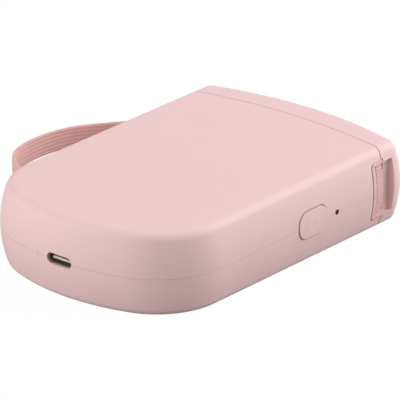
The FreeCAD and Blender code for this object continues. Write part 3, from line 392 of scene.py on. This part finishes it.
def webbingFinish():
    # Woven band: picks run across it. Painted shade darkens the hollows between the picks and between the ribs, over a
    # random yarn tone. Metres along in U, a share across in V.
    cloth = {"light": paint(240, 194, 189), "dark": paint(206, 150, 146), "ribs": 6, "pick": 0.42 * mm}
    material, tree, shader = shaderBase("webbing", cloth["light"], 0.82)
    shader.inputs["Sheen Weight"].default_value = 0.25
    where = tree.nodes.new("ShaderNodeTexCoord")
    parts = tree.nodes.new("ShaderNodeSeparateXYZ")
    tree.links.new(where.outputs["UV"], parts.inputs[0])

    def wave(socket, turns, lag=0.0):
        phase = calc(tree, "MULTIPLY_ADD", socket, turns * math.tau, lag)
        return calc(tree, "MULTIPLY_ADD", calc(tree, "COSINE", phase), 0.5, 0.5)

    picks = wave(parts.outputs["X"], 1 / cloth["pick"])
    ribValleyShade = wave(parts.outputs["Y"], cloth["ribs"])
    yarn = tree.nodes.new("ShaderNodeTexNoise")
    yarn.inputs["Scale"].default_value = 2600
    tree.links.new(where.outputs["Object"], yarn.inputs["Vector"])
    shade = tree.nodes.new("ShaderNodeMix")
    shade.data_type = "RGBA"
    shade.inputs["A"].default_value = cloth["light"]
    shade.inputs["B"].default_value = cloth["dark"]
    # Painted shade: the colour moves towards the dark tone where the picks and the rib valleys sink; the yarn noise
    # adds a random tone.
    share = calc(tree, "MULTIPLY_ADD", calc(tree, "MAXIMUM", picks, ribValleyShade), 0.34,
                 calc(tree, "MULTIPLY", yarn.outputs["Fac"], 0.3))
    tree.links.new(share, shade.inputs["Factor"])
    tree.links.new(shade.outputs["Result"], shader.inputs["Base Color"])
    bump = tree.nodes.new("ShaderNodeBump")
    bump.inputs["Strength"].default_value = 0.7
    bump.inputs["Distance"].default_value = 0.08 * mm
    height = calc(tree, "SUBTRACT", calc(tree, "MULTIPLY", yarn.outputs["Fac"], 0.4), picks)
    tree.links.new(height, bump.inputs["Height"])
    tree.links.new(bump.outputs["Normal"], shader.inputs["Normal"])
    return material


def buttonFinish():
    # The moulded plastic of the shell with a faint standby ring, drawn round the button's middle in its own plane.
    mark = {"ring": 2.1 * mm, "line": 0.36 * mm, "gap": 0.6 * mm, "barTop": 2.7 * mm, "barLow": 0.8 * mm,
            "soft": 0.06 * mm, "colour": paint(243, 221, 219)}
    low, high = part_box("power_button")
    finish = finishes["shell"]
    material, tree, shader = shaderBase("buttonPlastic", finish["colour"], finish["roughness"])
    addGrain(tree, shader, finish["grain"], finish["depth"], finish["bump"], finish["colour"], 0.012)
    where = tree.nodes.new("ShaderNodeTexCoord")
    parts = tree.nodes.new("ShaderNodeSeparateXYZ")
    tree.links.new(where.outputs["Object"], parts.inputs[0])
    across = calc(tree, "ABSOLUTE", calc(tree, "SUBTRACT", parts.outputs["X"], (low[0] + high[0]) / 2))
    up = calc(tree, "SUBTRACT", parts.outputs["Z"], (low[2] + high[2]) / 2)

    def within(value, reach):
        # 1 where the value is less than the reach, with a soft edge.
        return smoothShare(tree, value, reach + mark["soft"], reach - mark["soft"])

    far = calc(tree, "SQRT", calc(tree, "ADD", calc(tree, "POWER", across, 2.0),
                                  calc(tree, "POWER", calc(tree, "ABSOLUTE", up), 2.0)))
    onRing = within(calc(tree, "ABSOLUTE", calc(tree, "SUBTRACT", far, mark["ring"])), mark["line"] / 2)
    clear = calc(tree, "MAXIMUM", within(up, 0.0), calc(tree, "SUBTRACT", 1.0, within(across, mark["gap"])))
    middle = (mark["barTop"] + mark["barLow"]) / 2
    tall = within(calc(tree, "ABSOLUTE", calc(tree, "SUBTRACT", up, middle)), middle - mark["barLow"])
    bar = calc(tree, "MULTIPLY", within(across, mark["line"] / 2), tall)
    share = calc(tree, "MAXIMUM", calc(tree, "MULTIPLY", onRing, clear), bar)
    mix = tree.nodes.new("ShaderNodeMix")
    mix.data_type = "RGBA"
    tree.links.new(shader.inputs["Base Color"].links[0].from_socket, mix.inputs["A"])
    mix.inputs["B"].default_value = mark["colour"]
    tree.links.new(share, mix.inputs["Factor"])
    tree.links.new(mix.outputs["Result"], shader.inputs["Base Color"])
    return material


def tongueFinish():
    # Pale moulded tongue with gilt contact pads side by side across it.
    pads = {"pitch": 0.5 * mm, "share": 0.38, "gilt": paint(222, 196, 140), "soft": 0.08}
    finish = finishes["tongue"]
    material, tree, shader = shaderBase("contactTongue", finish["colour"], finish["roughness"])
    addGrain(tree, shader, finish["grain"], finish["depth"], finish["bump"], finish["colour"], 0.012)
    where = tree.nodes.new("ShaderNodeTexCoord")
    parts = tree.nodes.new("ShaderNodeSeparateXYZ")
    tree.links.new(where.outputs["Object"], parts.inputs[0])
    sweep = calc(tree, "PINGPONG", calc(tree, "DIVIDE", parts.outputs["Y"], pads["pitch"] / 2), 1.0)
    onPad = smoothShare(tree, sweep, pads["share"] + pads["soft"], pads["share"] - pads["soft"])
    mix = tree.nodes.new("ShaderNodeMix")
    mix.data_type = "RGBA"
    tree.links.new(shader.inputs["Base Color"].links[0].from_socket, mix.inputs["A"])
    mix.inputs["B"].default_value = pads["gilt"]
    tree.links.new(onPad, mix.inputs["Factor"])
    tree.links.new(mix.outputs["Result"], shader.inputs["Base Color"])
    tree.links.new(calc(tree, "MULTIPLY", onPad, 0.6), shader.inputs["Metallic"])
    return material


looks = {name: plasticFinish(name) for name in finishes}
looks["webbing"] = webbingFinish()
looks["button"] = buttonFinish()
looks["tongue"] = tongueFinish()
looks.update({name: metalFinish(name) for name in metals})
looks["board"] = boardFinish()

wornBy = {
    "shell": ["top_shell", "bottom_shell", "end_cover"],
    "button": ["power_button"],
    "insert": ["tear_bar", "label_bay"],
    "gear": ["platen_bushes", "platen_gear", "idler_gear", "reduction_gear", "switch_plunger"],
    "black": ["gap_sensor", "print_head", "board_chips", "button_switch"],
    "tongue": ["usb_tongue"],
    "rubber": ["platen_roller"],
    "foam": ["battery_pad"],
    "ribbon": ["head_ribbon"],
    "pouch": ["battery"],
    "lampDark": ["status_lamp"],
    "lampClear": ["charge_lamp"],
    "steel": ["cover_hinge_pin", "platen_shaft", "gear_axles", "motor_shaft", "mechanism_plate", "motor",
              "head_bracket", "head_pivot_pin", "head_spring", "battery_tabs", "strap_anchors",
              "cover_catch"],
    "tin": ["usb_shell"],
    "aluminium": ["head_heat_sink"],
    "brass": ["motor_pinion"],
    "board": ["main_board"],
}
for finishName, nodeNames in wornBy.items():
    for nodeName in nodeNames:
        nodes[nodeName].data.materials.clear()
        nodes[nodeName].data.materials.append(looks[finishName])
print("finishes on the frame's nodes")


# Wrist strap: ribbed webbing that loops round the two anchor pins
strap = {
    "thickness": 1.2 * mm,
    "width": 6.3 * mm,
    "rise": 0.25 * mm,
    "lean": math.radians(14),
    "leanSpan": (0.3, 0.5, 0.6, 0.7),
    "droop": 0.4 * mm,
    "droopSpan": (0.42, 0.62, 0.76, 0.92),
    "ribs": 6,
    "ribDepth": 0.08 * mm,
    "profilePoints": 144,
    "step": 0.35 * mm,
    "pinGap": 0.3 * mm,
    "pinRadius": 1.0 * mm,
    "loopPoints": 9,
    "farPin": (36.2, 33.6),
    "nearPin": (-26.2, 33.4),
    "farArc": (-244, 46),
    "nearArc": (-6, -296),
    "run": [(33.9, 38.1), (29.5, 42.0), (24.6, 45.8), (18.8, 50.2), (12.9, 54.0), (7.3, 56.3), (1.5, 57.7),
            (-4.8, 58.1), (-9.8, 57.5), (-14.6, 55.8), (-18.6, 52.8), (-21.4, 48.8), (-23.0, 44.2), (-23.9, 39.0)],
}


def pinLoop(pin, arc, level):
    radius = strap["pinRadius"] + strap["pinGap"] + strap["thickness"] / 2
    points = []
    for number in range(strap["loopPoints"]):
        turn = math.radians(arc[0] + (arc[1] - arc[0]) * number / (strap["loopPoints"] - 1))
        points.append((pin[0] * mm + radius * math.cos(turn), pin[1] * mm + radius * math.sin(turn), level))
    return points


def strapRoute():
    low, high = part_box("strap")
    level = (low[2] + high[2]) / 2 + strap["rise"]
    run = [(x * mm, y * mm, level) for x, y in strap["run"]]
    far = pinLoop(strap["farPin"], strap["farArc"], level)
    return far + run + pinLoop(strap["nearPin"], strap["nearArc"], level)


def smoothRoute(tree, geometry, step):
    # Vertices joined by edges become one smooth curve through them.
    line = feed(tree, tree.nodes.new("GeometryNodeMeshToCurve"), Mesh=geometry)
    kind = tree.nodes.new("GeometryNodeCurveSplineType")
    kind.spline_type = "BEZIER"
    feed(tree, kind, Curve=line.outputs[0])
    handles = tree.nodes.new("GeometryNodeCurveSetHandles")
    handles.handle_type = "AUTO"
    handles.mode = {"LEFT", "RIGHT"}
    feed(tree, handles, Curve=kind.outputs[0])
    fine = tree.nodes.new("GeometryNodeSetSplineResolution")
    feed(tree, fine, Geometry=handles.outputs[0], Resolution=16)
    even = tree.nodes.new("GeometryNodeResampleCurve")
    even.mode = "LENGTH"
    feed(tree, even, Curve=fine.outputs[0], Length=step)
    level = tree.nodes.new("GeometryNodeSetCurveNormal")
    level.mode = "Z_UP"
    feed(tree, level, Curve=even.outputs[0])
    # The free part leans a little, and its bend hangs a little lower than its ends.
    along = tree.nodes.new("GeometryNodeSplineParameter").outputs["Factor"]

    def between(span):
        rise = smoothShare(tree, along, span[0], span[1])
        return calc(tree, "MULTIPLY", rise, smoothShare(tree, along, span[3], span[2]))

    lean = feed(tree, tree.nodes.new("GeometryNodeSetCurveTilt"), Curve=level.outputs[0],
                Tilt=calc(tree, "MULTIPLY", between(strap["leanSpan"]), strap["lean"]))
    hang = calc(tree, "MULTIPLY", between(strap["droopSpan"]), -strap["droop"])
    hung = feed(tree, tree.nodes.new("GeometryNodeSetPosition"), Geometry=lean.outputs[0],
                Offset=vectorOf(tree, 0.0, 0.0, hang))
    return hung.outputs[0]


def ribbedProfile(tree, start):
    # A closed band section: ribs on both faces and rounded edges, width along y.
    count = start.outputs["Profile Points"]
    ring = feed(tree, tree.nodes.new("GeometryNodeCurvePrimitiveCircle"), Resolution=count)
    index = tree.nodes.new("GeometryNodeInputIndex").outputs[0]
    along = calc(tree, "DIVIDE", index, calc(tree, "DIVIDE", count, 2.0))
    share = calc(tree, "PINGPONG", along, 1.0)
    side = calc(tree, "SUBTRACT", 1.0, calc(tree, "MULTIPLY", calc(tree, "FLOOR", along), 2.0))
    across = calc(tree, "MULTIPLY", calc(tree, "SUBTRACT", share, 0.5), start.outputs["Width"])
    edge = calc(tree, "POWER", calc(tree, "ABSOLUTE", calc(tree, "MULTIPLY_ADD", share, 2.0, -1.0)), 12.0)
    swell = calc(tree, "SQRT", calc(tree, "MAXIMUM", calc(tree, "SUBTRACT", 1.0, edge), 0.0))
    turn = calc(tree, "MULTIPLY", calc(tree, "MULTIPLY", share, start.outputs["Ribs"]), math.tau)
    dip = calc(tree, "MULTIPLY", calc(tree, "MULTIPLY_ADD", calc(tree, "COSINE", turn), 0.5, 0.5),
               start.outputs["Rib Depth"])
    half = calc(tree, "MULTIPLY", calc(tree, "MULTIPLY", start.outputs["Thickness"], 0.5), swell)
    thick = calc(tree, "MAXIMUM", calc(tree, "SUBTRACT", half, dip), 0.0)
    place = vectorOf(tree, calc(tree, "MULTIPLY", thick, side), across)
    shaped = feed(tree, tree.nodes.new("GeometryNodeSetPosition"), Geometry=ring.outputs[0], Position=place)
    return store(tree, shaped.outputs[0], "acrossShare", "FLOAT", "POINT", share)


def makeStrap():
    sizes = {"Width": strap["width"], "Thickness": strap["thickness"], "Ribs": strap["ribs"],
             "Rib Depth": strap["ribDepth"], "Profile Points": strap["profilePoints"], "Step": strap["step"]}
    tree, start, end = nodeTree("webbing", sizes)
    route = smoothRoute(tree, start.outputs["Geometry"], start.outputs["Step"])
    length = tree.nodes.new("GeometryNodeSplineParameter").outputs["Length"]
    route = store(tree, route, "alongLength", "FLOAT", "POINT", length)
    band = feed(tree, tree.nodes.new("GeometryNodeCurveToMesh"), Curve=route,
                Profile_Curve=ribbedProfile(tree, start), Fill_Caps=True)
    reads = []
    for name in ("alongLength", "acrossShare"):
        read = tree.nodes.new("GeometryNodeInputNamedAttribute")
        read.data_type = "FLOAT"
        feed(tree, read, Name=name)
        reads.append(read.outputs["Attribute"])
    laid = store(tree, band.outputs[0], "UVMap", "FLOAT2", "CORNER", vectorOf(tree, reads[0], reads[1]))
    finishTree(tree, laid, end, "webbing", True)
    points = strapRoute()
    seed = seedMesh("strapRoute", points, [(i, i + 1) for i in range(len(points) - 1)])
    piece = growPiece("wrist_strap", seed, tree, sizes, "housing")
    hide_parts("strap")
    return piece


wristStrap = makeStrap()
print("strap made")


# Screws: one tree, grown once for each kind, at the places of the frame's own screws
screws = {
    "case_screws": {"upward": False, "head": 1.5 * mm, "shank": 0.9 * mm, "pitch": 0.7 * mm},
    "board_screws": {"upward": True, "head": 0.9 * mm, "shank": 0.7 * mm, "pitch": 0.5 * mm},
    "mechanism_screws": {"upward": True, "head": 0.9 * mm, "shank": 0.7 * mm, "pitch": 0.5 * mm},
}
screwShape = {"sides": 32, "domeShare": 0.35, "slotLong": 1.25, "slotWide": 0.3, "slotDeep": 0.5,
              "threadDeep": 0.12, "threadRows": 8, "ringMost": 96}


def partBoxes(nodeName):
    # The boxes of a compound node's separate parts, read from a merged copy of its mesh.
    sheet = bmesh.new()
    sheet.from_mesh(nodes[nodeName].data)
    bmesh.ops.remove_doubles(sheet, verts=sheet.verts, dist=0.005 * mm)
    left = set(sheet.verts)
    boxes = []
    while left:
        waiting = [left.pop()]
        found = list(waiting)
        while waiting:
            for edge in waiting.pop().link_edges:
                for vertex in edge.verts:
                    if vertex in left:
                        left.remove(vertex)
                        waiting.append(vertex)
                        found.append(vertex)
        places = [vertex.co for vertex in found]
        boxes.append(([min(p[i] for p in places) for i in range(3)], [max(p[i] for p in places) for i in range(3)]))
    sheet.free()
    return sorted(boxes)


def screwTree(sizes):
    # Built with the head's face at z = 0 and the shank below it, then set on every seed point.
    tree, start, end = nodeTree("crossHeadScrew", sizes)
    radius = start.outputs["Head Radius"]
    height = start.outputs["Head Height"]
    head = feed(tree, tree.nodes.new("GeometryNodeMeshCylinder"), Vertices=screwShape["sides"], Side_Segments=4,
                Fill_Segments=8, Radius=radius, Depth=height)
    place = tree.nodes.new("GeometryNodeInputPosition").outputs[0]
    parts = tree.nodes.new("ShaderNodeSeparateXYZ")
    tree.links.new(place, parts.inputs[0])
    far = tree.nodes.new("ShaderNodeVectorMath")
    far.operation = "LENGTH"
    tree.links.new(vectorOf(tree, parts.outputs[0], parts.outputs[1]), far.inputs[0])
    bulge = calc(tree, "POWER", calc(tree, "DIVIDE", far.outputs["Value"], radius), 3.0)
    above = calc(tree, "ADD", calc(tree, "DIVIDE", parts.outputs[2], height), 0.5)
    sink = calc(tree, "MULTIPLY", calc(tree, "MULTIPLY", bulge, above), height)
    drop = vectorOf(tree, 0.0, 0.0, calc(tree, "MULTIPLY", sink, -screwShape["domeShare"]))
    domed = feed(tree, tree.nodes.new("GeometryNodeSetPosition"), Geometry=head.outputs["Mesh"], Offset=drop)
    lowered = feed(tree, tree.nodes.new("GeometryNodeTransform"), Geometry=domed.outputs[0],
                   Translation=vectorOf(tree, 0.0, 0.0, calc(tree, "MULTIPLY", height, -0.5)))
    slots = []
    for turn in (0.0, math.pi / 2):
        size = vectorOf(tree, calc(tree, "MULTIPLY", radius, screwShape["slotLong"]),
                        calc(tree, "MULTIPLY", radius, screwShape["slotWide"]),
                        calc(tree, "MULTIPLY", height, 2 * screwShape["slotDeep"]))
        slot = feed(tree, tree.nodes.new("GeometryNodeMeshCube"), Size=size)
        slots.append(feed(tree, tree.nodes.new("GeometryNodeTransform"), Geometry=slot.outputs[0],
                          Rotation=(0, 0, turn)).outputs[0])
    cut = tree.nodes.new("GeometryNodeMeshBoolean")
    cut.operation = "DIFFERENCE"
    tree.links.new(lowered.outputs[0], cut.inputs[0])
    for slot in slots:
        tree.links.new(slot, cut.inputs[1])
    length = start.outputs["Shank Length"]
    rows = start.outputs["Rows"]
    shank = feed(tree, tree.nodes.new("GeometryNodeMeshCylinder"), Vertices=24, Side_Segments=rows,
                 Radius=start.outputs["Shank Radius"], Depth=length)
    angle = calc(tree, "ARCTAN2", parts.outputs[1], parts.outputs[0])
    wind = calc(tree, "ADD", calc(tree, "DIVIDE", calc(tree, "MULTIPLY", parts.outputs[2], math.tau),
                                  start.outputs["Pitch"]), angle)
    pinch = calc(tree, "MULTIPLY_ADD", calc(tree, "COSINE", wind), 0.5 * screwShape["threadDeep"],
                 1.0 - 0.5 * screwShape["threadDeep"])
    thread = feed(tree, tree.nodes.new("GeometryNodeSetPosition"), Geometry=shank.outputs["Mesh"], Position=vectorOf(
        tree, calc(tree, "MULTIPLY", parts.outputs[0], pinch), calc(tree, "MULTIPLY", parts.outputs[1], pinch),
        parts.outputs[2]))
    under = calc(tree, "SUBTRACT", calc(tree, "MULTIPLY", length, -0.5), height)
    hung = feed(tree, tree.nodes.new("GeometryNodeTransform"), Geometry=thread.outputs[0],
                Translation=vectorOf(tree, 0.0, 0.0, under))
    whole = joined(tree, cut.outputs[0], hung.outputs[0])
    stood = feed(tree, tree.nodes.new("GeometryNodeTransform"), Geometry=whole,
                 Rotation=vectorOf(tree, start.outputs["Turn Over"]))
    spread = feed(tree, tree.nodes.new("GeometryNodeInstanceOnPoints"), Points=start.outputs["Geometry"],
                  Instance=stood.outputs[0])
    finishTree(tree, spread.outputs[0], end, "steel", False)
    return tree


def makeScrews(nodeName):
    kind = screws[nodeName]
    boxes = partBoxes(nodeName)
    low, high = boxes[0]
    length = high[2] - low[2] - kind["head"]
    rows = min(screwShape["ringMost"], int(length / kind["pitch"] * screwShape["threadRows"]))
    sizes = {"Head Radius": (high[0] - low[0]) / 2, "Head Height": kind["head"], "Shank Radius": kind["shank"],
             "Shank Length": length, "Pitch": kind["pitch"], "Rows": rows,
             "Turn Over": 0.0 if kind["upward"] else math.pi}
    places = [((low[0] + high[0]) / 2, (low[1] + high[1]) / 2, high[2] if kind["upward"] else low[2])
              for low, high in boxes]
    piece = growPiece(nodeName.replace("_", "") + "Threaded", seedMesh(nodeName + "Places", places),
                      screwTree(sizes), sizes, "housing")
    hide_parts(nodeName)
    print(nodeName, len(boxes), "screws")


for screwName in screws:
    makeScrews(screwName)
